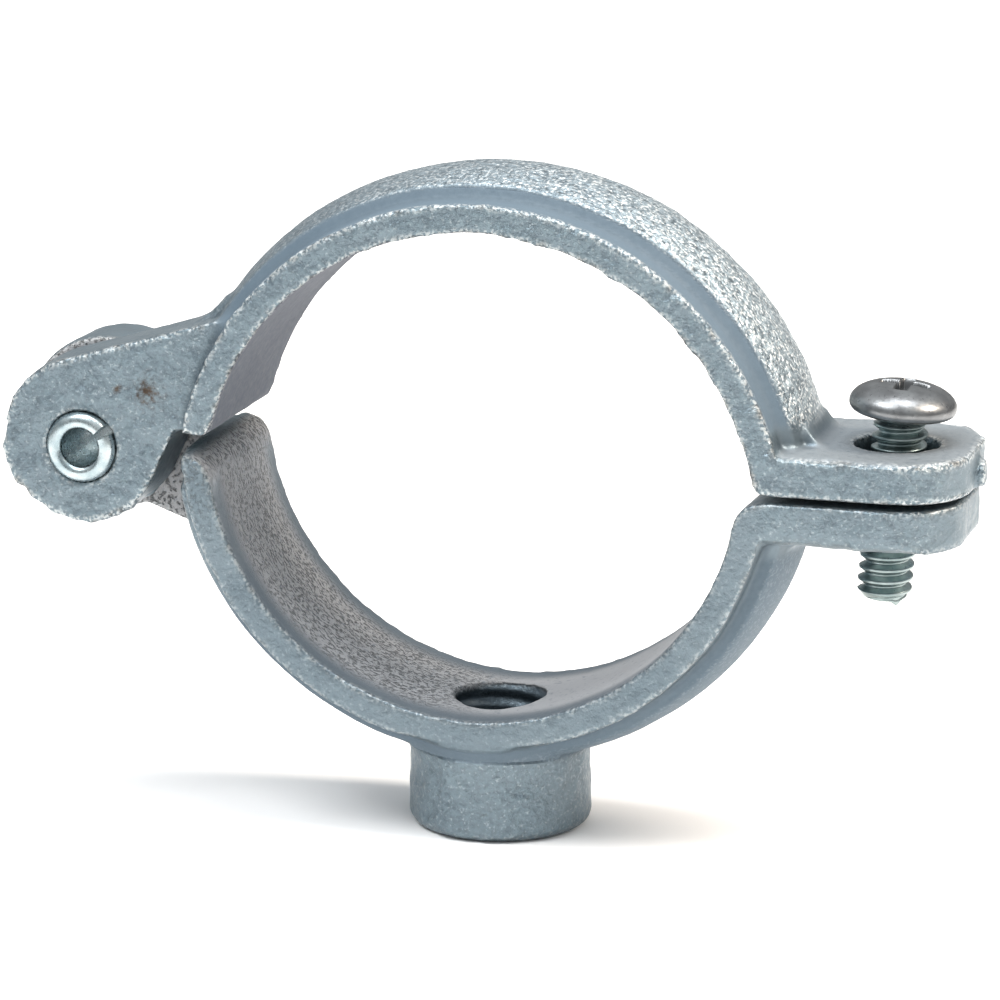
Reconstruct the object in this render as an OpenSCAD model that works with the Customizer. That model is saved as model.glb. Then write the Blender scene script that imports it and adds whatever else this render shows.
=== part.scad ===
// Split ring hanger: a hinged cast iron ring in two halves, closed by one screw,
// with a tapped boss for a threaded rod.
// Frame: the pipe runs along Y, the rod along Z at x = 0, the hinge is at -X and
// the clamping ears are at +X. z = 0 is halfway between the two arcs' centres.

/* [Ring] */
// Inner radius of the upper half
upper_r = 24.9; // [23.5:0.1:28]
// Inner radius of the lower half
lower_r = 23.9; // [22.5:0.1:27]
// How far the arcs' centres pass each other when the empty ring is closed
take_up = 5.5; // [3:0.1:7]
// How far the upper arc sits toward the hinge
upper_shift = 0.4; // [0:0.1:0.6]
// Width of the ring along the pipe
ring_w = 17.2; // [15:0.1:20]
// Thickness of the ring's wall
flange_t = 2.6; // [2:0.1:3.4]
// Height of the rib outside the upper half's wall
upper_rib_h = 2.2; // [2:0.1:3]
// Height of the rib outside the lower half's wall
lower_rib_h = 2.5; // [2:0.1:3]
// Width of the rib
rib_w = 12; // [10:0.1:12.4]
// Radius of the rib's rounded crown
crown_r = 16; // [16:0.5:25]
// Fillet between the rib's sides and the wall
rib_foot_r = 0.7; // [0.3:0.05:0.75]

/* [Hinge] */
// Distance of the hinge pin from the ring's inner wall
hinge_out = 12.3; // [12:0.1:14]
// Height of the hinge pin above the middle of the ring
hinge_z = 0.7; // [0:0.05:1.2]
// Width of the hinge over both ears, the upper half's in front of the lower half's
hinge_w = 13.6; // [12.4:0.1:15]
// Gap between the two ears where they lap
lap_gap = 0.4; // [0.3:0.05:0.8]
// Radius of the upper ear's rounded end
upper_ear_r = 7.35; // [6.8:0.05:8]
// Radius of the lower ear's rounded end
lower_ear_r = 7.9; // [6.8:0.05:8.1]
// Height of the middle of those ends above the pin
ear_rise = 0.6; // [0:0.05:0.8]
// Distance from the pin to the upper ear's heel, where it meets the ring's end
heel_r = 9; // [8.6:0.1:9.2]
// Slope of the upper ear's upper edge
web_slope = 17; // [12:1:24]
// Fillet from the upper ear's upper edge to the rib
web_fillet = 8; // [2:0.5:9]
// Depth of the lower ear's lower edge under the pin
web_drop = 5.3; // [4.8:0.1:5.6]
// Slope of the lower ear's lower edge
drop_slope = 20; // [10:1:26]
// Clearance around the ears' ends and heel
knuckle_gap = 0.4; // [0.3:0.05:0.8]
// Height of the lower half's end at the hinge
lower_end_z = 1.2; // [0.6:0.1:2]
// Gap between the two ends at the hinge
end_gap = 1.5; // [0.4:0.1:2]
// Rounding of the upper half's inner edge at the hinge
upper_nose_r = 1.2; // [0.5:0.1:2]
// Rounding of the lower half's inner edge at the hinge
lower_nose_r = 3; // [0.5:0.1:3.2]

/* [Hinge pin] */
// Diameter of the spring pin
pin_d = 6.35; // [5:0.05:6.5]
// Bore of the spring pin
pin_bore_d = 3.7; // [3:0.1:4.2]
// Length of pin that stands out of each ear
pin_proud = 0.8; // [0.3:0.1:1.5]
// Width of the slot along the pin
pin_slot = 1; // [0.6:0.1:1.4]
// Place of the slot around the pin, from +X upward
pin_slot_turn = 34; // [0:1:90]
// Rounding of the pin's ends
pin_end_r = 0.9; // [0.4:0.1:1]
// Radial clearance of the pin in the lower ear
pin_clear = 0.05; // [0.03:0.01:0.1]

/* [Clamping ears] */
// Distance of the clamp screw from the ring's inner wall
screw_out = 10.85; // [10:0.05:13]
// Distance from the screw to the end of the upper ear
upper_ear_end = 7.2; // [6.4:0.1:10]
// Distance from the screw to the end of the lower ear
lower_ear_end = 6.8; // [6:0.1:9.6]
// Corner radius of the ears' end
ear_corner_r = 6; // [3:0.1:7]
// Thickness of the upper ear
upper_ear_t = 3.6; // [3:0.1:5]
// Thickness of the lower ear
lower_ear_t = 3.9; // [3:0.1:5]
// Gap between the ears
ear_gap = 0.5; // [0.3:0.05:1]
// Height of the middle of that gap
joint_z = 0.55; // [0:0.05:1]
// Rounding of the upper ear's top edges
upper_edge_r = 0.7; // [0.4:0.1:1.6]
// Rounding of the lower ear's bottom edges
lower_edge_r = 1.6; // [0.4:0.1:2]
// Fillet between the upper ear and the rib
ear_fillet = 2.5; // [1:0.1:3]
// Fillet between the lower ear and the rib
lower_ear_fillet = 1.2; // [0.5:0.1:2]
// Rounding of the upper half's inner edge at the ear
upper_lip_r = 1.8; // [0.5:0.1:2.2]
// Rounding of the lower half's inner edge at the ear
lower_lip_r = 3; // [0.5:0.1:3.2]
// Diameter of the oversize screw hole in the upper ear
screw_hole_d = 7.2; // [6.6:0.1:8]
// Diameter of the casting gate's stub on the upper ear's end
gate_d = 2.4; // [2:0.1:2.6]
// Length of that stub
gate_len = 0.8; // [0.4:0.1:1.5]
// Height of the stub's middle above the upper ear's lower face
gate_rise = 1.4; // [1.4:0.05:1.7]

/* [Clamp screw] */
// Diameter over the thread
screw_d = 4.8; // [4:0.05:5]
// Length under the head
screw_len = 16.4; // [15:0.1:19]
// Lean of the tapped hole and its screw, outward at the head
screw_lean = 4.75; // [0:0.25:5]
// Gap left between the head and the upper ear
head_rise = 2.6; // [1:0.1:4]
// Diameter of the head
head_d = 9.3; // [8:0.1:10]
// Height of the head
head_h = 2.7; // [2.2:0.1:3.2]
// Height of the head's straight rim
head_rim = 0.7; // [0.4:0.1:1]
// Width of the cross recess
recess_w = 1; // [0.7:0.05:1.3]
// Span of the cross recess
recess_span = 4.4; // [3.5:0.1:5]
// Depth of the cross recess
recess_depth = 1.4; // [0.8:0.1:1.6]
// Chamfer at the screw's tip
tip_chamfer = 0.6; // [0.3:0.1:1]
// Radial clearance of the screw in the tapped hole
tap_clear = 0.12; // [0.08:0.01:0.2]

/* [Boss] */
// Diameter of the boss
boss_d = 16.1; // [14.5:0.1:16.8]
// Length of the boss below the rib
boss_len = 6.2; // [4.5:0.1:14]
// Minor diameter of the tapped rod hole
rod_d = 7.94; // [6:0.02:9]
// Chamfer at the mouth of the rod hole
rod_chamfer = 0.6; // [0.3:0.1:1]
// Rounding of the boss's lower edge
foot_r = 1; // [0.4:0.1:1.5]
// Fillet between the boss and the ring
boss_fillet = 2.2; // [1:0.1:3.5]

/* [Hidden] */
$fn = 96;
eps = 0.01;
far = 200;
// How far a fillet bites into the two faces that it joins, so that it meets them at an edge
bite = 0.03;
iron = [0.62, 0.67, 0.70];
plated = [0.70, 0.76, 0.78];
nickel = [0.75, 0.75, 0.74];

// The arcs line up at the hinge: each centre sits half the difference in radius off the rod's axis.
half_off = (upper_r - lower_r) / 2;
wall_x = (upper_r + lower_r) / 2;
upper_c = [half_off - upper_shift, -take_up / 2];
lower_c = [-half_off, take_up / 2];
upper_out = upper_r + flange_t + upper_rib_h;
lower_out = lower_r + flange_t + lower_rib_h;

pin_c = [-wall_x - hinge_out, hinge_z];
ear_c = pin_c + [0, ear_rise];
upper_end_z = lower_end_z + end_gap;
heel = [pin_c[0] + sqrt(heel_r * heel_r - (upper_end_z - hinge_z) * (upper_end_z - hinge_z)),
        upper_end_z];
// Where the upper ear's round end turns up toward the heel, in degrees below level
heel_turn = 20;
lap_w = (hinge_w - lap_gap) / 2;
fillet_w = 0.7 * rib_w;
inside_x = wall_x - 3;

screw_x = wall_x + screw_out;
upper_ear_x = screw_x + upper_ear_end;
lower_ear_x = screw_x + lower_ear_end;
upper_face_z = joint_z + ear_gap / 2;
lower_face_z = joint_z - ear_gap / 2;
ear_top_z = upper_face_z + upper_ear_t;
ear_low_z = lower_face_z - lower_ear_t;
hole_x = screw_x + (upper_ear_t / 2 + ear_gap / 2) * tan(screw_lean);

foot_z = lower_c[1] - lower_out - boss_len;
collar_z = lower_c[1] - lower_r - flange_t * 2 / 3;

// A point of the X and Z plane as seen from axes turned up by angle a.
function turned(p, a) = [p[0] * cos(a) + p[1] * sin(a), p[1] * cos(a) - p[0] * sin(a)];

// A flat shape in X and Z, drawn out along Y about the middle of the ring.
module along_pipe(w) {
    rotate([90, 0, 0]) linear_extrude(w, center = true) children();
}

// A flat shape in Y and Z, drawn out along X from x0 to x1.
module across(x0, x1) {
    translate([x0, 0, 0]) rotate([90, 0, 90]) linear_extrude(x1 - x0) children();
}

// A round bar along Y through a point of the X and Z plane.
module y_bar(c, r, w) {
    translate([c[0], 0, c[1]]) rotate([90, 0, 0]) cylinder(r = r, h = w, center = true);
}

// The ring's wall and rib as one revolved section out to radius out, still solid inside.
module ring_blank(c, r, out) {
    wall_r = r + flange_t;
    translate([c[0], 0, c[1]]) rotate([90, 0, 0]) rotate_extrude($fn = 180) {
        translate([r / 2, -ring_w / 2]) square([wall_r - r / 2, ring_w]);
        intersection() {
            translate([r / 2, -rib_w / 2]) square([r, rib_w]);
            translate([out - crown_r, 0]) circle(crown_r);
        }
        difference() {
            w = rib_w / 2 + rib_foot_r;
            translate([r, -w]) square([flange_t + rib_foot_r, 2 * w]);
            for (s = [-1, 1]) translate([wall_r + rib_foot_r, s * w]) circle(rib_foot_r);
            translate([wall_r, -rib_w / 2]) square([rib_foot_r + 1, rib_w]);
        }
    }
}

// Everything over z0 on the hinge side and over z1 on the ear side.
module space_above(z0, z1) {
    translate([-far, -far, z0]) cube([far, 2 * far, far]);
    translate([-eps, -far, z1]) cube([far, 2 * far, far]);
}

// A clamping ear's outline from above, with round corners at its end x1.
module ear_plan(x1) {
    w = ring_w / 2 - ear_corner_r;
    translate([inside_x, -ring_w / 2]) square([x1 - ear_corner_r - inside_x, ring_w]);
    translate([inside_x, -w]) square([x1 - inside_x, 2 * w]);
    for (s = [-1, 1]) translate([x1 - ear_corner_r, s * w]) circle(ear_corner_r);
}

// One ear's section across its length, t thick, with its outer edges rounded to e.
module ear_section(t, e) {
    w = ring_w / 2;
    translate([-w, 0]) square([2 * w, t - e]);
    translate([e - w, 0]) square([2 * (w - e), t]);
    for (s = [-1, 1]) translate([s * (w - e), t - e]) circle(e);
}

// An ear that lies on z = 0 and is t thick.
module clamp_ear(x1, t, e) {
    intersection() {
        linear_extrude(t) ear_plan(x1);
        across(inside_x, x1 + 1) ear_section(t, e);
    }
}

// Fillet from a level face at height h to the rib of an arc, outside on the +X side.
module rib_fillet(c, r, h, f) {
    dz = h + f - bite - c[1];
    dx = sqrt((r + f - bite) * (r + f - bite) - dz * dz);
    k = r / (r + f);
    t = [c[0] + k * dx, c[1] + k * dz];
    difference() {
        polygon([[c[0] + dx, h - f / 2], [c[0] + dx, c[1] + dz], t, t - [f, 0], [t[0] - f, h - f / 2]]);
        translate([c[0] + dx, c[1] + dz]) circle(f);
    }
}

// What a rounding of radius f takes off the inner edge where an arc meets a level
// face at height h, with the material on the side that d points to.
module lip_cut(c, r, h, f, d) {
    z = h + d * f;
    x = c[0] + sqrt((r + f) * (r + f) - (z - c[1]) * (z - c[1]));
    k = r / (r + f);
    t = [c[0] + k * (x - c[0]), c[1] + k * (z - c[1])];
    difference() {
        polygon([t, [x, z], [x, h - d], [t[0] - f - 2, h - d], [t[0] - f - 2, t[1]]]);
        translate([x, z]) circle(f);
    }
}

// The pipe's way through one half, with the inner edges rounded at the hinge (nose) and
// at the ear (lip); z0 and z1 are the half's end faces there, and d points into its material.
module pipe_cut(c, r, z0, nose, z1, lip, d) {
    along_pipe(far) {
        translate(c) circle(r, $fn = 180);
        lip_cut(c, r, z1, lip, d);
        mirror([1, 0]) lip_cut([-c[0], c[1]], r, z0, nose, d);
    }
}

// Moves its children to the clamp screw's axis, with z = 0 at the gap between the ears.
module on_screw_axis() {
    translate([screw_x, 0, joint_z]) rotate([0, screw_lean, 0]) children();
}

// A flat shape in X and Z, w thick from the lap, in front of it (s = -1) or behind (s = 1).
module lapped(s, w) {
    translate([0, s * (lap_gap + w) / 2, 0]) along_pipe(w) children();
}

// The room round the pin that one half leaves for the other half's ear, which reaches out to r,
// in front of the middle (s = -1) or behind it (s = 1).
module ear_room(s, r) {
    translate([0, s * far / 2, 0]) y_bar(pin_c, r + knuckle_gap, far);
}

// The upper half's hinge ear with its rising web in one outline.
module upper_hinge_ear() {
    a = web_slope;
    top = ear_c + upper_ear_r * [-sin(a), cos(a)];
    run = (-inside_x - top[0]) / cos(a);
    q = turned(upper_c, a);
    lapped(-1, lap_w) {
        translate(ear_c) circle(upper_ear_r);
        polygon([top, top + run * [cos(a), sin(a)], [-inside_x, upper_end_z], heel,
                 ear_c + upper_ear_r * [cos(heel_turn), -sin(heel_turn)], ear_c]);
    }
    // The fillet to the rib, drawn in axes turned to the edge's slope.
    lapped(-1, fillet_w / 2) rotate(a) mirror([1, 0])
        rib_fillet([-q[0], q[1]], upper_out, turned(top, a)[1], web_fillet);
}

// The lower half's hinge ear with its falling web in one outline.
module lower_hinge_ear() {
    low = hinge_z - web_drop;
    lapped(1, lap_w) {
        translate(ear_c) circle(lower_ear_r);
        polygon([[pin_c[0], low], [-inside_x, low - (-inside_x - pin_c[0]) * tan(drop_slope)],
                 [-inside_x, lower_end_z], [pin_c[0], lower_end_z]]);
    }
}

// Upper half: half ring with the front hinge ear and a clamping ear with an oversize hole.
module upper_half() color(iron) difference() {
    union() {
        intersection() {
            ring_blank(upper_c, upper_r, upper_out);
            space_above(upper_end_z, upper_face_z);
        }
        upper_hinge_ear();
        translate([0, 0, upper_face_z]) clamp_ear(upper_ear_x, upper_ear_t, upper_edge_r);
        along_pipe(fillet_w) rib_fillet(upper_c, upper_out, ear_top_z, ear_fillet);
        translate([upper_ear_x - gate_d, 0, upper_face_z + gate_rise])
            rotate([0, 90, 0]) cylinder(d = gate_d, h = gate_d + gate_len);
    }
    pipe_cut(upper_c, upper_r, upper_end_z, upper_nose_r, upper_face_z, upper_lip_r, 1);
    ear_room(1, lower_ear_r + ear_rise);
    y_bar(pin_c, pin_d / 2, far);
    translate([hole_x, 0, upper_face_z - 1]) cylinder(d = screw_hole_d, h = upper_ear_t + 2);
}

// The boss below the ring, with a rounded foot and a fillet up to the ring.
module boss() {
    rotate_extrude() {
        translate([0, foot_z + foot_r]) square([boss_d / 2, collar_z - foot_z]);
        translate([0, foot_z]) square([boss_d / 2 - foot_r, collar_z - foot_z]);
        translate([boss_d / 2 - foot_r, foot_z + foot_r]) circle(foot_r);
    }
    intersection() {
        rotate_extrude() difference() {
            translate([boss_d / 4, collar_z - boss_fillet])
                square([boss_d / 4 + boss_fillet, boss_fillet + flange_t / 3]);
            translate([boss_d / 2 + boss_fillet, collar_z - boss_fillet]) circle(boss_fillet);
        }
        cube([far, ring_w, far], center = true);
    }
}

// Lower half: half ring with the rear hinge ear, a tapped clamping ear and the rod boss.
module lower_half() color(iron) difference() {
    union() {
        difference() {
            ring_blank(lower_c, lower_r, lower_out);
            space_above(lower_end_z, lower_face_z);
        }
        lower_hinge_ear();
        translate([0, 0, lower_face_z]) mirror([0, 0, 1])
            clamp_ear(lower_ear_x, lower_ear_t, lower_edge_r);
        along_pipe(fillet_w) mirror([0, 1])
            rib_fillet([lower_c[0], -lower_c[1]], lower_out, -ear_low_z, lower_ear_fillet);
        boss();
    }
    pipe_cut(lower_c, lower_r, lower_end_z, lower_nose_r, lower_face_z, lower_lip_r, -1);
    ear_room(-1, heel_r);
    y_bar(pin_c, pin_d / 2 + pin_clear, far);
    on_screw_axis() cylinder(d = screw_d + 2 * tap_clear, h = far / 4, center = true);
    translate([0, 0, foot_z - 1]) cylinder(d = rod_d, h = far / 4);
    translate([0, 0, foot_z - eps])
        cylinder(d1 = rod_d + 2 * rod_chamfer + eps, d2 = rod_d - eps, h = rod_chamfer + eps);
}

// Hinge pin: a rolled spring pin, hollow, with one slot and rounded ends.
module hinge_pin() {
    half = hinge_w / 2 + pin_proud;
    wall = (pin_d - pin_bore_d) / 2;
    r = min(pin_end_r, wall - 0.2);
    color(plated) translate([pin_c[0], 0, pin_c[1]]) difference() {
        rotate([90, 0, 0]) rotate_extrude() {
            translate([pin_bore_d / 2, r - half]) square([wall, 2 * (half - r)]);
            translate([pin_bore_d / 2, -half]) square([wall - r, 2 * half]);
            for (s = [-1, 1]) translate([pin_d / 2 - r, s * (half - r)]) circle(r);
        }
        rotate([0, -pin_slot_turn, 0]) translate([0, -far / 2, -pin_slot / 2])
            cube([pin_d, far, pin_slot]);
    }
}

// Clamp screw: domed head with a cross recess on a plain shank, backed off from the ear.
module clamp_screw() {
    rise = ear_top_z - joint_z + head_rise;
    dome = head_h - head_rim;
    dome_r = (head_d * head_d / 4 + dome * dome) / (2 * dome);
    color(nickel) on_screw_axis() difference() {
        translate([0, 0, rise]) rotate_extrude() {
            translate([0, -screw_len + tip_chamfer])
                square([screw_d / 2, screw_len - tip_chamfer + head_rim]);
            polygon([[0, -screw_len], [screw_d / 2 - tip_chamfer, -screw_len],
                     [screw_d / 2, tip_chamfer - screw_len], [0, tip_chamfer - screw_len]]);
            square([head_d / 2, head_rim]);
            intersection() {
                translate([0, head_h - dome_r]) circle(dome_r);
                translate([0, head_rim]) square([head_d, head_h]);
            }
        }
        for (t = [0, 90]) rotate(t) translate([0, 0, rise + head_h])
            cube([recess_span, recess_w, 2 * recess_depth], center = true);
    }
}

upper_half();
lower_half();
hinge_pin();
clamp_screw();
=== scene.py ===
"""Looks of a hinged split ring hanger: galvanised castings, a rolled spring pin and a plated screw.

Sizes are in millimetres in the frame of the solids: the pipe runs along Y, the rod along Z,
the hinge is at -X and the clamping ears are at +X. They become metres when a mesh is made.
"""

import math

import bmesh
import bpy
import numpy as np
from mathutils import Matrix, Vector


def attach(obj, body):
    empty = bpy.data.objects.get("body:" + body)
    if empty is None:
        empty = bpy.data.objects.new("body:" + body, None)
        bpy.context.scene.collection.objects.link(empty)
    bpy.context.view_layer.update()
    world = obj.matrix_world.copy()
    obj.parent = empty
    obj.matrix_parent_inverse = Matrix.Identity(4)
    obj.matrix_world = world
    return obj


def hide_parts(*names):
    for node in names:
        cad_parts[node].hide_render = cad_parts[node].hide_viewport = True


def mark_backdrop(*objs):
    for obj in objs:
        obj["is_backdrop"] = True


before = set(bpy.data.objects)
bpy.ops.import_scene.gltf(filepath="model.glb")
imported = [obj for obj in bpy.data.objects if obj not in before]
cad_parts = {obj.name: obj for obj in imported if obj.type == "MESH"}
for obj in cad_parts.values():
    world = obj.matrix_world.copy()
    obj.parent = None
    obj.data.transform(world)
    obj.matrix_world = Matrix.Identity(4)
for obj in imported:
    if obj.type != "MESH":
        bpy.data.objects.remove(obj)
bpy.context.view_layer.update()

MM = 0.001

# The ring's arcs, each a centre's x and z and the inner radius, and the hinge, as in the solids.
UPPER_ARC = (0.1, -2.75, 24.9)
LOWER_ARC = (-0.5, 2.75, 23.9)
WALL = 2.6
PIN_X, PIN_Z = -36.7, 0.7
HINGE_HALF = 6.8
GAP_Z = 0.55

# The hinge webs lie left of the first x and the clamping ears right of the second.
WEB_X = -27.0
EAR_X = 22.0

# The clamp screw's axis starts in the gap between the ears and leans outward. The head's seat and
# the tip are distances along it.
SCREW_BASE = np.array([35.25, 0.0, GAP_Z])
SCREW_LEAN = math.radians(4.75)
SCREW_AXIS = np.array([math.sin(SCREW_LEAN), 0, math.cos(SCREW_LEAN)])
HEAD_T = 6.45
TIP_T = HEAD_T - 16.4

# The rod's thread in the boss.
ROD_R = 3.97
ROD_PITCH = 1.5875
ROD_GROOVE = 0.62
FOOT_Z = -32.45

# The castings' skin: spacing of its points, then rounds of softening for all edges, for the
# rib's foot and for the boss's root.
SKIN_STEP = 0.26
EDGE_ROUNDS, FOOT_ROUNDS, ROOT_ROUNDS = 6, 14, 40

# What the skin tells the material about each point: sandy fronts with rare painted glints, the
# rib's crown with painted sparkle, its smooth sides with painted shade, edges with painted glints
# and their sharp rims, hollows and the ring's inside with painted shade, iron with little zinc
# together with the upper ear's top painted lighter where light falls, pits and where grains stand up.
MARKS = ("sandy", "crown", "band", "edge", "rim", "crevice_shade", "inside", "bare_iron_and_lit_top", "pitted", "rough")


def linear(code):
    """Linear colour of an sRGB hex code."""
    parts = [int(code[i:i + 2], 16) / 255 for i in (1, 3, 5)]
    return [c / 12.92 if c <= 0.04045 else ((c + 0.055) / 1.055) ** 2.4 for c in parts] + [1]


def ease(low, high, value):
    """Smooth step: 0 before low, 1 past high and a cubic between them. Low may be the larger."""
    t = np.clip((value - low) / (high - low), 0, 1)
    return t * t * (3 - 2 * t)


def grain(points, cell, seed):
    """Lattice noise from -1 to 1: a hashed value at each corner of a grid of cells, joined by
    cubic weights along the three axes."""
    q = points / cell
    base = np.floor(q).astype(np.int64)
    w = q - base
    w = w * w * (3 - 2 * w)
    total = np.zeros(len(points))
    for corner in np.ndindex(2, 2, 2):
        k = base + corner
        h = (k[:, 0] * 73856093) ^ (k[:, 1] * 19349663) ^ (k[:, 2] * 83492791) ^ (seed * 2654435)
        h = ((h ^ (h >> 13)) * 1274126177) & 0xFFFFFFFF
        value = ((h ^ (h >> 15)) & 0xFFFF) / 32767.5 - 1
        total += value * np.prod(np.where(corner, w, 1 - w), axis=1)
    return total


def new_piece(name, mesh):
    """An object at the origin for a finished mesh."""
    piece = bpy.data.objects.new(name, mesh)
    bpy.context.scene.collection.objects.link(piece)
    return piece


def grid_quads(rows, cols):
    """Corner numbers of the quads on a grid whose columns close on themselves."""
    i, j = np.meshgrid(np.arange(rows - 1), np.arange(cols), indexing="ij")
    j2 = (j + 1) % cols
    quads = np.stack([i * cols + j, i * cols + j2, (i + 1) * cols + j2, (i + 1) * cols + j], axis=-1)
    return quads.reshape(-1, 4).tolist()


def grid_piece(name, points, caps=False):
    """A piece from points on a grid, outward and smooth, with its first and last row capped if
    asked. Doubled points at the poles are merged."""
    rows, cols = points.shape[:2]
    faces = grid_quads(rows, cols)
    if caps:
        faces += [list(range(cols)), list(range((rows - 1) * cols, rows * cols))]
    mesh = bpy.data.meshes.new(name)
    mesh.from_pydata((points.reshape(-1, 3) * MM).tolist(), [], faces)
    bm = bmesh.new()
    bm.from_mesh(mesh)
    bmesh.ops.remove_doubles(bm, verts=bm.verts, dist=1e-6)
    bmesh.ops.recalc_face_normals(bm, faces=bm.faces)
    bm.to_mesh(mesh)
    bm.free()
    mesh.shade_smooth()
    return new_piece(name, mesh)


class Skin:
    """A fine, even skin over a solid, kept as arrays of points, normals and edges."""

    def __init__(self, node):
        blank = new_piece(node + "_blank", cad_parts[node].data.copy())
        joined = bmesh.new()
        joined.from_mesh(blank.data)
        bmesh.ops.remove_doubles(joined, verts=joined.verts, dist=1e-6)
        joined.to_mesh(blank.data)
        joined.free()
        remesh = blank.modifiers.new("even", "REMESH")
        remesh.mode = "VOXEL"
        remesh.voxel_size = SKIN_STEP * MM
        seen = blank.evaluated_get(bpy.context.evaluated_depsgraph_get())
        self.mesh = bpy.data.meshes.new_from_object(seen)
        bpy.data.objects.remove(blank)
        count = len(self.mesh.vertices)
        flat = np.empty(count * 3)
        self.mesh.vertices.foreach_get("co", flat)
        self.points = flat.reshape(-1, 3) / MM
        pairs = np.empty(len(self.mesh.edges) * 2, np.int32)
        self.mesh.edges.foreach_get("vertices", pairs)
        self.pairs = pairs.reshape(-1, 2)
        self.degree = np.bincount(pairs, minlength=count)

    def mean(self, values):
        """Mean of each point's neighbours along the edges."""
        a, b = self.pairs.T
        n = len(self.degree)
        columns = values.reshape(n, -1).T
        sums = [np.bincount(a, c[b], n) + np.bincount(b, c[a], n) for c in columns]
        return (np.stack(sums, axis=1) / self.degree[:, None]).reshape(values.shape)

    def soften(self, rounds, where=1.0):
        """Rounds the edges: each round moves every point halfway to its neighbours' mean, or less
        where the given share is smaller."""
        for _ in range(rounds):
            self.points += (0.5 * where * (self.mean(self.points) - self.points).T).T

    def store(self):
        """Writes the points into the mesh and reads the normals back."""
        self.mesh.vertices.foreach_set("co", (self.points * MM).ravel())
        self.mesh.update()
        flat = np.empty(self.points.size)
        self.mesh.vertices.foreach_get("normal", flat)
        self.normals = flat.reshape(-1, 3)

    def bend(self, rounds):
        """How convex the skin is at each point: how far the neighbours' mean lies below it."""
        value = -np.sum((self.mean(self.points) - self.points) * self.normals, axis=1)
        for _ in range(rounds):
            value = self.mean(value)
        return value

    def mark(self, name, values):
        """Keeps one number a point for the material to read."""
        layer = self.mesh.attributes.new(name, "FLOAT", "POINT")
        layer.data.foreach_set("value", np.clip(values, 0, 1).astype(np.float32))


def past_arc(points, arc):
    """How far each point lies outside the inner radius of its half ring."""
    cx, cz, radius = arc
    return np.hypot(points[:, 0] - cx, points[:, 2] - cz) - radius


def round_edges(skin, arc):
    """Softens all edges a little, the rib's foot more and the boss's root most, so that the flange
    runs into the boss without a step."""
    skin.soften(EDGE_ROUNDS)
    x, y, z = skin.points.T
    out, wide = past_arc(skin.points, arc), np.abs(y)
    foot = ease(WALL - 0.4, WALL, out) * ease(WALL + 1.2, WALL + 0.8, out) * ease(4.8, 5.6, wide)
    skin.soften(FOOT_ROUNDS, foot * ease(8.0, 7.4, wide) * (x > -24))
    root = ease(-22.6, -24.0, z) * ease(-30, -28, z) * ease(9.5, 7.0, np.abs(x)) * (wide > 4.6)
    skin.soften(ROOT_ROUNDS, root)
    skin.store()


def casting_marks(skin, arc, is_lower):
    """The marks of a half's points, shares from 0 to 1 by name. Each grows between two limits of a
    place in mm, of the normal's slant or of the skin's bend."""
    x, y, z = skin.points.T
    out, wide, off_gap = past_arc(skin.points, arc), np.abs(y), np.abs(z - GAP_Z)
    at_pin = np.hypot(x - PIN_X, z - PIN_Z)
    facing, upward = np.abs(skin.normals[:, 1]), skin.normals[:, 2]
    bend = skin.bend(3)

    ear = ease(24.5, 26, x) * ease(6.4, 5.2, off_gap)
    boss = (z < -25) * (out > WALL) * (np.hypot(x, y) < 9)
    ring = ease(-26, -22, x) * (1 - ear) * (1 - boss)
    rib = ease(WALL + 0.1, WALL + 0.4, out) * ring
    rib_end = ease(3.6, 4.2, off_gap) * ease(7.2, 6.4, wide) * (x > 20)
    front = ease(0.55, 0.85, facing) * (1 - rib) * (1 - rib_end)

    sandy = (0.5 if is_lower else 1.0) * front + 0.5 * boss + 0.4 * ear * (1 - rib_end)
    sandy = np.clip(sandy, 0, 1)
    # Convex edges carry crumbs in the relief and painted glints in the colour.
    edge = ease(0.005, 0.024, bend) * (1 - rib) * (1 - rib_end)
    rim = ease(0.018, 0.030, bend) * (1 - rib)
    # Concave places, where shade falls, get painted shade.
    crevice_shade = ease(0.003, 0.016, -bend)
    crown = ease(WALL + 0.95, WALL + 1.3, out) * (1 - ear) * ease(7.4, 9.0, at_pin) * (1 - front)
    # The rib's sides get painted shade for the dark reflection they show.
    band = ease(WALL - 0.5, WALL - 0.2, out) * ring * (1 - front) * (1 - crown)
    # The web's upward top faces join the crown and its painted sparkle, a painted highlight from above.
    web_top = ease(0.5, 0.8, upward) * (x < WEB_X) * (y < 0)
    # The crown and its painted sparkle grow stronger to the right, where the side lamp falls.
    crown = np.clip(crown + web_top, 0, 1) * ease(-40, 20, x)
    # The ring's inside gets painted shade.
    inside = ease(0.7, 0.3, out) * (1 - front) * ease(27, 25, x)
    if is_lower:
        lap = ease(1.1, 0.6, wide) * ease(-26.8, -27.4, x) * front
        nose = ease(-2.5, 0.5, z) * ease(-26.5, -25.5, x) * (x < -18) * (1 - front)
        # The bare strip is fuller towards the bottom: painted light where light falls in from above.
        strip = inside * ease(7.6, 4.6, wide) * (0.65 + 0.35 * ease(4, -14, z))
        bare_iron_and_lit_top = np.maximum(np.maximum(strip, nose), lap)
        flange_end = 0.5 * front * ease(-8, -1, z) * (x < -18)
        pitted = np.maximum(bare_iron_and_lit_top * ease(2, -8, x), flange_end)
        edge, crown, inside = 0.5 * edge, 0.1 * crown, 0.35 * inside
        band = 0.8 * rib * (1 - front)
    else:
        # The upper ear's upward top takes the light grey of bare iron: painted light on the top.
        bare_iron_and_lit_top = 0.4 * ear * ease(0.6, 0.9, upward)
        pitted = 0 * bare_iron_and_lit_top
    rough = np.maximum(np.maximum(0.8 * sandy, crown), edge)
    marks = (sandy, crown, band, edge, rim, crevice_shade, inside, bare_iron_and_lit_top, pitted, rough)
    return dict(zip(MARKS, marks))


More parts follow.
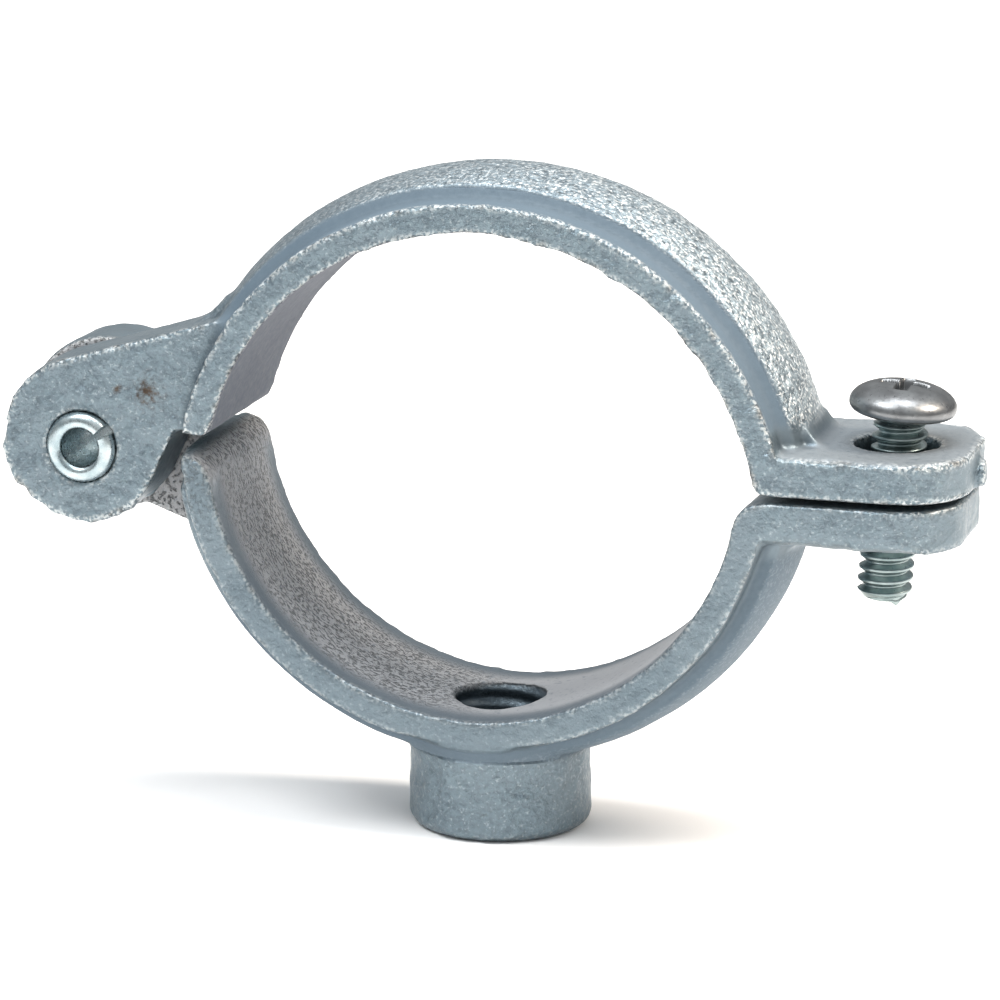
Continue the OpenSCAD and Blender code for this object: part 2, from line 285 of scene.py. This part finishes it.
def free_to_move(points):
    """Share of the relief that each point may take: none at the pin's hole, the lap between the
    hinge ears, the gap, the screw's and the rod's holes and the foot, so that fits stay true."""
    x, y, z = points.T
    share = ease(3.3, 4.3, np.hypot(x - PIN_X, z - PIN_Z))
    share *= 1 - ease(1.0, 0.4, np.abs(y)) * (x < WEB_X)
    share *= ease(0.25, 0.9, np.abs(z - GAP_Z)) * (x > EAR_X) + (x <= EAR_X)
    share *= ease(2.5, 4.7, np.hypot(x - SCREW_BASE[0], y))
    share *= np.maximum(ease(4.1, 5.2, np.hypot(x, y)), ease(-15, -12, z))
    return share * ease(FOOT_Z + 0.1, FOOT_Z + 0.8, z)


def cast_relief(points, marks, is_lower):
    """Height of the cast skin at each point: long waves all over, grains where it is rough, crumbs
    along the edges and the front hinge ear's ragged rim. Each is lattice noise of a cell in mm."""
    x, y, z = points.T
    sandy = marks["sandy"]
    swell = 0.09 * grain(points, 7.0, 1) + (0.04 + 0.12 * sandy) * grain(points, 2.4, 2)
    sand = (0.04 + 0.20 * sandy) * grain(points, 1.3, 3)
    sand = sand + (0.05 + 0.05 * sandy) * grain(points, 0.62, 4)
    crumbs = 0.17 * grain(points, 1.2, 7) + 0.12 * grain(points, 0.6, 8)
    height = swell + sand * (0.15 + 0.85 * marks["rough"]) + crumbs * marks["edge"]
    if not is_lower:
        ear_rim = ease(5.7, 7.0, np.hypot(x - PIN_X, z - PIN_Z))
        ear_rim *= (x < PIN_X + 5) * (z < PIN_Z + 2) * (y < 0)
        height += ear_rim * (0.42 * grain(points, 2.1, 5) + 0.22 * grain(points, 0.9, 6))
    return height


def rod_thread(points):
    """The rod's thread: grooves of triangular section that climb one pitch a turn round the hole's
    wall. Gives each point's shift away from the rod's axis and its share of the wall."""
    x, y, z = points.T
    r = np.hypot(x, y)
    turn = np.arctan2(y, x) / (2 * math.pi)
    phase = np.mod(z / ROD_PITCH - turn, 1)
    groove = ROD_GROOVE * (1 - np.abs(2 * phase - 1))
    in_hole = (r < ROD_R + 0.25) * ease(FOOT_Z + 0.5, FOOT_Z + 1.2, z) * ease(-20.6, -21.6, z)
    away = np.stack([x, y, 0 * z], axis=1) / np.maximum(r, 0.1)[:, None]
    return away * (groove * in_hole)[:, None], in_hole


def casting(node, name, arc, is_lower):
    """A sand-cast half: the solid's skin with softened edges, moved along its normals by the cast
    relief, and marked for the material. The lower half has the rod's thread as well."""
    skin = Skin(node)
    round_edges(skin, arc)
    marks = casting_marks(skin, arc, is_lower)
    smooth = skin.points
    height = cast_relief(smooth, marks, is_lower) * free_to_move(smooth)
    skin.points = smooth + skin.normals * height[:, None]
    if is_lower:
        shift, in_hole = rod_thread(smooth)
        skin.points += shift
        # The rod's threaded hole gets painted shade.
        marks["crevice_shade"] = np.maximum(marks["crevice_shade"], in_hole)
    skin.store()
    for key, values in marks.items():
        skin.mark(key, values)
    skin.mesh.shade_smooth()
    skin.mesh.materials.clear()
    return new_piece(name, skin.mesh)


def machine_screw():
    """A lathe grid round the leaning axis: the shank's radius follows a ridge that climbs one
    pitch a turn, and a cross recess is pressed into the dome of the head."""
    pitch, core, ridge_h, tip_r = 1.058, 1.86, 0.53, 1.8
    burr_h, burr_at, burr_w = 0.35, 5.6, 0.22
    seat_r, lip_w, lip_h, head_r, dome_h = 3.85, 0.8, 0.75, 4.65, 1.95
    recess_h = 1.35
    turn = np.linspace(0, 2 * math.pi, 120, endpoint=False)[None, :]

    t = np.linspace(TIP_T, HEAD_T, 300)[:, None]
    phase = np.mod(t / pitch - turn / (2 * math.pi), 1)
    ridge = np.clip((0.86 - np.abs(2 * phase - 1)) / 0.66, 0, 1)
    shank_r = core + ridge_h * ridge * ease(HEAD_T - 0.2, HEAD_T - 1.2, t)
    shank_r = np.minimum(shank_r, tip_r + 0.9 * (t - TIP_T))
    burr = burr_h * np.exp(-((turn - burr_at) / burr_w) ** 2) * ease(TIP_T + 0.4, TIP_T, t)
    shank = np.stack(np.broadcast_arrays(shank_r, t - burr), axis=-1)

    quarter = math.pi / 2
    under = np.linspace(0, 1, 8)[:, None]
    lip = np.linspace(0, quarter, 14)[1:, None]
    dome = np.linspace(0, quarter, 64)[1:, None]
    flare_r = core + (seat_r - core) * under
    lip_r, lip_t = seat_r + lip_w * np.sin(lip), lip_h * (1 - np.cos(lip))
    dome_r, dome_t = head_r * np.cos(dome) ** 0.8, lip_h + dome_h * np.sin(dome)
    cap_r = np.concatenate([flare_r, lip_r, dome_r])
    cap_t = HEAD_T + np.concatenate([0 * flare_r, lip_t, dome_t])

    def recess_arm(across, along):
        return ease(0.62, 0.42, np.abs(across)) * ease(2.25, 1.75, np.abs(along))

    u, v = cap_r * np.cos(turn), cap_r * np.sin(turn)
    cross = np.maximum(recess_arm(u, v), recess_arm(v, u))
    recess = recess_h * cross * (cap_t > HEAD_T + 1.0)
    head = np.stack(np.broadcast_arrays(cap_r, cap_t - recess), axis=-1)

    end = np.array([[[0.0, TIP_T]]]) * np.ones((1, turn.size, 1))
    rows = np.concatenate([end, shank, head])
    side = np.array([math.cos(SCREW_LEAN), 0, -math.sin(SCREW_LEAN)])
    across = np.array([0.0, 1.0, 0.0])
    r, h, a = rows[..., :1], rows[..., 1:], turn[..., None]
    points = SCREW_BASE + SCREW_AXIS * h + side * r * np.cos(a) + across * r * np.sin(a)
    return grid_piece("machine_screw", points)


def spring_pin():
    """The wall's section, a long loop with four rounded corners, carried round the pin's axis from
    one lip of the slot to the other."""
    outer, bore, half, round_out, round_in = 3.175, 1.72, HINGE_HALF + 0.8, 0.85, 0.55
    slot_at, slot_half = math.radians(34), 0.5 / outer
    arc = np.linspace(0, math.pi / 2, 9)
    lip_r = np.concatenate([outer - round_out * (1 - np.cos(arc)), bore + round_in * (1 - np.sin(arc))])
    lip_s = np.concatenate([half - round_out * (1 - np.sin(arc)), half - round_in * (1 - np.cos(arc))])
    r = np.concatenate([lip_r, lip_r[::-1]])
    s = np.concatenate([lip_s, -lip_s[::-1]])
    turn = np.linspace(slot_at + slot_half, slot_at + 2 * math.pi - slot_half, 120)[:, None]
    points = np.stack([PIN_X + r * np.cos(turn), 0 * turn + s, PIN_Z + r * np.sin(turn)], axis=-1)
    piece = grid_piece("spring_pin", points, caps=True)
    piece.data.set_sharp_from_angle(angle=math.radians(50))
    return piece


def add(tree, kind, settings=None, links=None):
    """Adds a node: settings are its own fields, and links fill its inputs with a value, another
    node's output or another node, whose first live output is meant."""
    made = tree.nodes.new(kind)
    for field, value in (settings or {}).items():
        setattr(made, field, value)
    for key, value in (links or {}).items():
        if isinstance(value, bpy.types.Node):
            value = next(output for output in value.outputs if output.enabled)
        if isinstance(value, bpy.types.NodeSocket):
            tree.links.new(value, made.inputs[key])
        else:
            made.inputs[key].default_value = value
    return made


def blank_material(name, links):
    """A material with an empty tree; links(tree) gives what its surface shader's inputs get."""
    material = bpy.data.materials.new(name)
    material.use_nodes = True
    tree = material.node_tree
    tree.nodes.clear()
    shader = add(tree, "ShaderNodeBsdfPrincipled", None, links(tree))
    add(tree, "ShaderNodeOutputMaterial", None, {"Surface": shader})
    return material


# Settings of the mixing and reckoning nodes.
OVER = {"data_type": "RGBA"}
TIMES = {"operation": "MULTIPLY"}
PLUS = {"operation": "ADD"}
MOST = {"operation": "MAXIMUM"}

# Noise in the cast iron's skin: cell in mm, detail, roughness and stretch across the ring.
PATTERNS = {
    "patch": (6.0, 2.0, 0.5, 1.0),
    "mottle": (1.5, 4.0, 0.6, 1.0),
    "fine": (0.55, 3.0, 0.65, 1.0),
    "painted_glint": (0.30, 1.0, 0.5, 1.0),
    "streak": (0.42, 3.0, 0.6, 1.6),
}

# Coats of colour over the zinc: pattern, where it starts and is full, mark, strength, colour.
ZINC = "#66747d"
COATS = (
    ("patch", 0.40, 0.62, None, 0.7, "#707d85"),
    ("fine", 0.36, 0.66, "sandy", 0.8, "#7e8f97"),
    ("mottle", 0.34, 0.24, "sandy", 0.8, "#535d62"),
    # Painted glints: rare white specks on the sandy faces, a painted highlight.
    ("painted_glint", 0.60, 0.76, "sandy", 0.30, "#cfd9dc"),
    # Painted shade: the rib's smooth sides darker and bluer, standing in for the dark reflection they
    # show.
    ("fine", 0.00, 0.30, "band", 0.8, "#576977"),
    # Painted sparkle on the crown: lighter lumps, white glints and dark gaps between them, stronger to
    # the right where the side lamp falls.
    ("fine", 0.38, 0.60, "crown", 1.0, "#98a6ae"),
    ("painted_glint", 0.52, 0.66, "crown", 0.9, "#e3e8e9"),
    ("fine", 0.40, 0.30, "crown", 0.8, "#515d64"),
    # Painted shade on the ring's inside, strongest on the upper half.
    ("fine", 0.00, 0.30, "inside", 0.9, "#4b515d"),
    # Warm grey of bare iron; on the upper ear's upward top the same light grey is painted light from
    # above.
    ("fine", 0.20, 0.45, "bare_iron_and_lit_top", 1.0, "#a1a3a6"),
    ("streak", 0.48, 0.40, "pitted", 0.65, "#5a5f60"),
    # Painted glints: white beads along the edges, a painted highlight.
    ("painted_glint", 0.44, 0.58, "edge", 0.8, "#e3e8e8"),
    ("mottle", 0.48, 0.38, "edge", 0.7, "#56514a"),
    ("mottle", 0.36, 0.52, "rim", 0.7, "#5a554d"),
    # Painted shade in the hollows, creases and the rod's threaded hole.
    ("fine", 0.00, 0.30, "crevice_shade", 0.6, "#45515a"),
)

# Rust specks: place, size and strength.
RUST = "#4d4239"
SPECKS = (
    ((-30.5, -6.8, 6.1), 1.1, 1.0),
    ((-30.3, -6.8, 6.2), 1.9, 0.3),
    ((-33.3, -6.8, 6.2), 0.5, 0.9),
    ((27.7, -3.1, 5.0), 0.5, 0.8),
)


def galvanised_cast_iron(tree):
    """Sand-cast malleable iron dipped in zinc: blue grey and dull, with painted glints on the sandy
    faces, the rib's crown and the edges, painted shade on the rib's sides, in the hollows and on the
    ring's inside, the upper ear's top painted lighter, and a warm grey, bare and pitted inside."""
    at = add(tree, "ShaderNodeTexCoord").outputs["Object"]
    marks = {
        name: add(tree, "ShaderNodeAttribute", {"attribute_name": name}).outputs["Fac"]
        for name in MARKS
    }
    noise = {}
    for name, (cell, detail, rough, stretch) in PATTERNS.items():
        place = add(tree, "ShaderNodeMapping", None, {"Vector": at, "Scale": (1, stretch, 1)})
        noise[name] = add(tree, "ShaderNodeTexNoise", None, {
            "Vector": place, "Scale": 1 / (cell * MM), "Detail": detail, "Roughness": rough,
        })

    colour = linear(ZINC)
    for pattern, start, full, mark, strength, code in COATS:
        share = add(tree, "ShaderNodeMapRange", None,
                    {"Value": noise[pattern], 1: start, 2: full, 4: strength})
        if mark:
            share = add(tree, "ShaderNodeMath", TIMES, {0: share, 1: marks[mark]})
        colour = add(tree, "ShaderNodeMix", OVER, {0: share, 6: colour, 7: linear(code)})
    for place, size, strength in SPECKS:
        away = add(tree, "ShaderNodeVectorMath", {"operation": "DISTANCE"},
                   {0: at, 1: [c * MM for c in place]}).outputs["Value"]
        shift = add(tree, "ShaderNodeMapRange", None, {
            "Value": noise["fine"], 1: 0.3, 2: 0.7, 3: -0.5 * size * MM, 4: 0.5 * size * MM,
        })
        away = add(tree, "ShaderNodeMath", PLUS, {0: away, 1: shift})
        share = add(tree, "ShaderNodeMapRange", None,
                    {"Value": away, 1: size * MM, 2: 0.2 * size * MM, 4: strength})
        colour = add(tree, "ShaderNodeMix", OVER, {0: share, 6: colour, 7: linear(RUST)})

    # Bare iron, the upper ear's top, the inside and the rib's sides are less metallic and duller than
    # the rest.
    matte = add(tree, "ShaderNodeMath", MOST, {0: marks["bare_iron_and_lit_top"], 1: marks["inside"]})
    matte = add(tree, "ShaderNodeMath", MOST, {0: matte, 1: marks["band"]})
    shine = add(tree, "ShaderNodeMapRange", None, {"Value": matte, 3: 0.7, 4: 0.2})
    matte = add(tree, "ShaderNodeMath", TIMES, {0: matte, 1: 0.3})
    dull = add(tree, "ShaderNodeMapRange", None,
               {"Value": noise["fine"], 1: 0.3, 2: 0.7, 3: 0.34, 4: 0.52})
    dull = add(tree, "ShaderNodeMath", PLUS, {0: dull, 1: matte})

    lumps = add(tree, "ShaderNodeMath", PLUS, {0: noise["fine"], 1: noise["mottle"]})
    depth = add(tree, "ShaderNodeMapRange", None, {"Value": marks["rough"], 3: 0.08, 4: 1.0})
    lumps = add(tree, "ShaderNodeMath", TIMES, {0: lumps, 1: depth})
    pits = add(tree, "ShaderNodeMapRange", None, {"Value": noise["streak"], 1: 0.36, 2: 0.5, 4: 1.1})
    pits = add(tree, "ShaderNodeMath", TIMES, {0: pits, 1: marks["pitted"]})
    relief = add(tree, "ShaderNodeMath", PLUS, {0: lumps, 1: pits})
    bump = add(tree, "ShaderNodeBump", None, {"Strength": 0.9, "Distance": 0.32 * MM, "Height": relief})
    return {"Base Color": colour, "Metallic": shine, "Roughness": dull, "Normal": bump}


def plated_steel(dark, light, roughness):
    """Zinc plated steel: bright metal with faint cloudy tarnish and fine marks of its making, which
    are drawn coarser than real ones so that they show."""
    cloud_cell, grit_cell, grit_h = 1.5 * MM, 0.25 * MM, 0.03 * MM

    def links(tree):
        at = add(tree, "ShaderNodeTexCoord").outputs["Object"]
        cloud = add(tree, "ShaderNodeTexNoise", None,
                    {"Vector": at, "Scale": 1 / cloud_cell, "Detail": 3.0})
        grit = add(tree, "ShaderNodeTexNoise", None,
                   {"Vector": at, "Scale": 1 / grit_cell, "Detail": 2.0})
        tint = add(tree, "ShaderNodeMapRange", None, {"Value": cloud, 1: 0.35, 2: 0.65})
        colour = add(tree, "ShaderNodeMix", OVER, {0: tint, 6: linear(dark), 7: linear(light)})
        dull = add(tree, "ShaderNodeMapRange", None,
                   {"Value": grit, 1: 0.3, 2: 0.7, 3: roughness - 0.05, 4: roughness + 0.08})
        bump = add(tree, "ShaderNodeBump", None,
                   {"Strength": 0.25, "Distance": grit_h, "Height": grit})
        return {"Base Color": colour, "Metallic": 1.0, "Roughness": dull, "Normal": bump}
    return links


upper = casting("upper_half", "cast_upper_half", UPPER_ARC, False)
lower = casting("lower_half", "cast_lower_half", LOWER_ARC, True)
pin = spring_pin()
screw = machine_screw()

iron = blank_material("galvanised_cast_iron", galvanised_cast_iron)
spring = blank_material("zinc_plated_spring_steel", plated_steel("#98a9af", "#bfcacd", 0.28))
bright = blank_material("bright_zinc_head", plated_steel("#727476", "#8a8d8f", 0.32))
blue = blank_material("blue_zinc_thread", plated_steel("#7c8b8c", "#9eabab", 0.32))
for piece, materials in ((upper, [iron]), (lower, [iron]), (pin, [spring]), (screw, [bright, blue])):
    for material in materials:
        piece.data.materials.append(material)

# The screw's faces below the head have the thread's finish.
flat = np.empty(len(screw.data.polygons) * 3)
screw.data.polygons.foreach_get("center", flat)
along = (flat.reshape(-1, 3) / MM - SCREW_BASE) @ SCREW_AXIS
screw.data.polygons.foreach_set("material_index", (along < HEAD_T - 0.01).astype(np.int32))

for piece, body, node, slot in (
    (upper, "upper", "upper_half", "galvanised_iron"),
    (lower, "lower", "lower_half", "galvanised_iron"),
    (pin, "upper", "hinge_pin", "spring_steel"),
    (screw, "screw", "clamp_screw", "zinc_steel"),
):
    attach(piece, body)
    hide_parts(node)


def pale_floor():
    """A wide flat sheet just under the boss, matte and nearly white."""
    size, z = 3.0, FOOT_Z * MM - 0.00002
    mesh = bpy.data.meshes.new("floor")
    mesh.from_pydata([(-size, -size, z), (size, -size, z), (size, size, z), (-size, size, z)],
                     [], [(0, 1, 2, 3)])
    card = {"Base Color": linear("#f7f7f7"), "Roughness": 0.9}
    mesh.materials.append(blank_material("white_studio_card", lambda tree: card))
    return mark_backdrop(new_piece("floor", mesh))


def area_light(name, place, size, watts, tint):
    """A square soft box that looks at the ring."""
    data = bpy.data.lights.new(name, "AREA")
    data.size, data.energy, data.color = size, watts, linear(tint)[:3]
    lamp = bpy.data.objects.new(name, data)
    lamp.location = place
    lamp.rotation_euler = (-Vector(place)).to_track_quat("-Z", "Y").to_euler()
    bpy.context.scene.collection.objects.link(lamp)


pale_floor()
area_light("key", (-0.28, -0.34, 0.82), 0.40, 5.5, "#ffffff")
area_light("side", (0.62, 0.05, 0.60), 0.25, 7.5, "#ffeedc")
area_light("top", (0.10, 0.00, 0.90), 0.40, 5, "#ffffff")

# A sky that is brighter overhead than at the horizon.
world = bpy.data.worlds.new("studio")
world.use_nodes = True
sky = world.node_tree
toward = add(sky, "ShaderNodeSeparateXYZ", None, {0: add(sky, "ShaderNodeTexCoord")})
glow = add(sky, "ShaderNodeMapRange", None,
           {"Value": toward.outputs["Z"], 1: 0.0, 2: 0.7, 3: 0.25, 4: 0.85})
sky.links.new(glow.outputs["Result"], sky.nodes["Background"].inputs["Strength"])
sky.nodes["Background"].inputs["Color"].default_value = (0.97, 0.99, 1.0, 1)
bpy.context.scene.world = world
bpy.context.scene.view_settings.view_transform = "Standard"

# A long lens, a little right of the front and above, as photographed.
back = Vector((0.27062, -0.93148, 0.24311))
camera_data = bpy.data.cameras.new("camera")
camera_data.lens, camera_data.sensor_width = 184.68, 36
camera_data.clip_start, camera_data.clip_end = 0.02, 20
camera = bpy.data.objects.new("camera", camera_data)
camera.location = (0.12206, -0.42042, 0.10648)
camera.rotation_euler = (-back).to_track_quat("-Z", "Y").to_euler()
bpy.context.scene.collection.objects.link(camera)
bpy.context.scene.camera = camera
